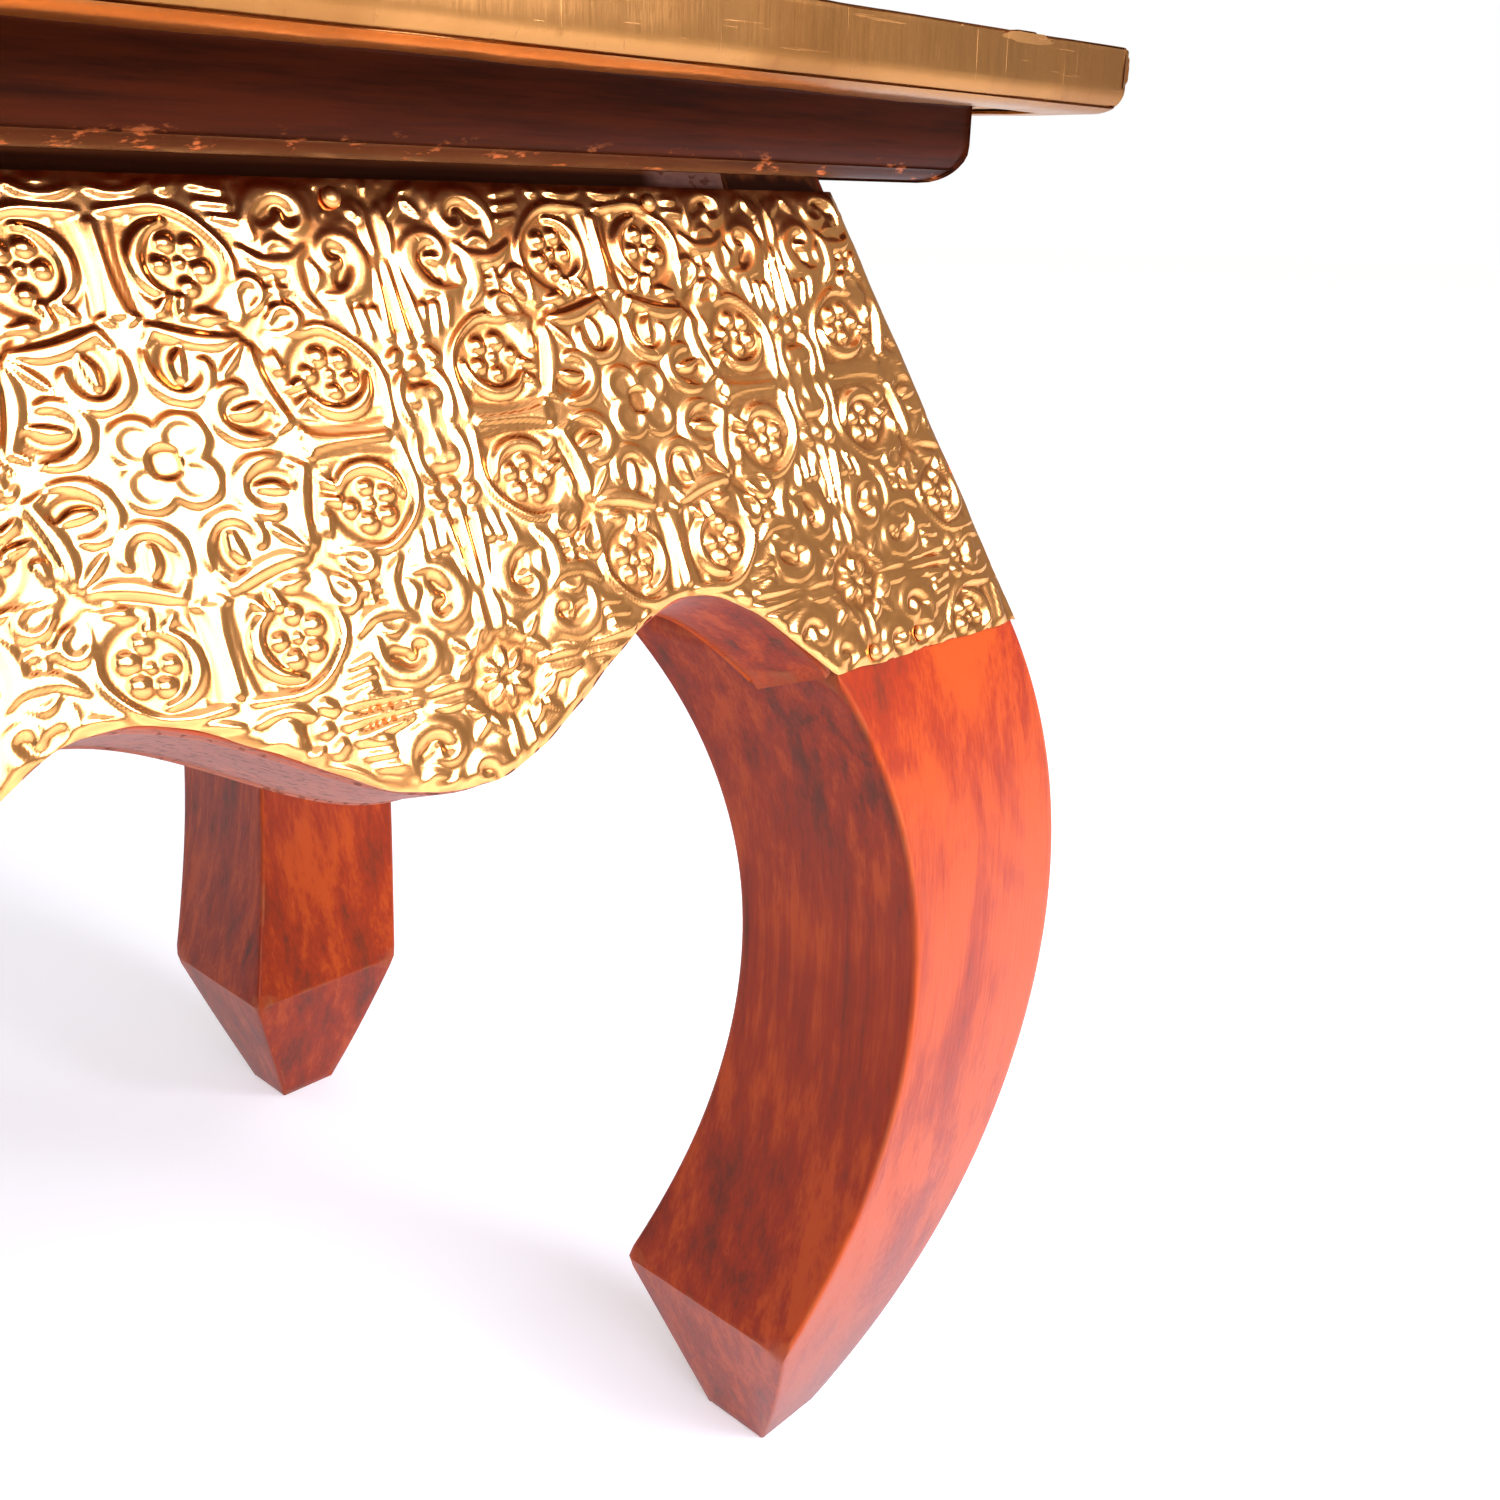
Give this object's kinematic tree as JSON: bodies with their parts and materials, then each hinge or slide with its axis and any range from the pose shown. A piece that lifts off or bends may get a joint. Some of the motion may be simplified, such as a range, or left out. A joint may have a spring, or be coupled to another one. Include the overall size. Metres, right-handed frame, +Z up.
{
  "type": "brass-clad side table",
  "caption": "Low square wooden side table on curved corner legs, its flat top and arched aprons clad in plain and embossed brass sheet.",
  "frame": {"origin": "centre of the footprint of the four feet, on the floor", "axes": "+Z up to the flat top, +X and +Y along two neighbouring sides of the square top"},
  "size_m": [0.2978, 0.2978, 0.312],
  "materials": {
    "polished_brass": "thin sheet, polished, with hair scratches, shallow dents and a folded edge",
    "embossed_brass": "thin sheet embossed in high relief with floral panels and polished on the high points",
    "brass_pin": "small domed pin heads, polished",
    "stained_wood": "solid wood, translucent orange-red stain under a satin varnish, worn at the edges",
    "dark_wood": "solid moulding, very dark red-brown stain under a satin varnish",
    "plain_wood": "unfinished plain board, hidden under the brass and inside the aprons",
    "steel_screw": "plain steel screws, inside"
  },
  "bodies": {
    "root": {"top_brass_skin": "polished_brass", "top_board": "plain_wood", "frame_rail_front": "dark_wood", "leg_front_right": "stained_wood", "apron_front": "stained_wood", "brass_sheet_front": "embossed_brass", "batten_front": "plain_wood", "screw_front_1": "steel_screw", "screw_front_2": "steel_screw", "pin_front_1": "brass_pin", "pin_front_2": "brass_pin", "pin_front_3": "brass_pin", "pin_front_4": "brass_pin", "pin_front_5": "brass_pin", "pin_front_6": "brass_pin", "pin_front_7": "brass_pin", "frame_rail_right": "dark_wood", "leg_back_right": "stained_wood", "apron_right": "stained_wood", "brass_sheet_right": "embossed_brass", "batten_right": "plain_wood", "screw_right_1": "steel_screw", "screw_right_2": "steel_screw", "pin_right_1": "brass_pin", "pin_right_2": "brass_pin", "pin_right_3": "brass_pin", "pin_right_4": "brass_pin", "pin_right_5": "brass_pin", "pin_right_6": "brass_pin", "pin_right_7": "brass_pin", "frame_rail_back": "dark_wood", "leg_back_left": "stained_wood", "apron_back": "stained_wood", "brass_sheet_back": "embossed_brass", "batten_back": "plain_wood", "screw_back_1": "steel_screw", "screw_back_2": "steel_screw", "pin_back_1": "brass_pin", "pin_back_2": "brass_pin", "pin_back_3": "brass_pin", "pin_back_4": "brass_pin", "pin_back_5": "brass_pin", "pin_back_6": "brass_pin", "pin_back_7": "brass_pin", "frame_rail_left": "dark_wood", "leg_front_left": "stained_wood", "apron_left": "stained_wood", "brass_sheet_left": "embossed_brass", "batten_left": "plain_wood", "screw_left_1": "steel_screw", "screw_left_2": "steel_screw", "pin_left_1": "brass_pin", "pin_left_2": "brass_pin", "pin_left_3": "brass_pin", "pin_left_4": "brass_pin", "pin_left_5": "brass_pin", "pin_left_6": "brass_pin", "pin_left_7": "brass_pin"}
  },
  "joints": []
}
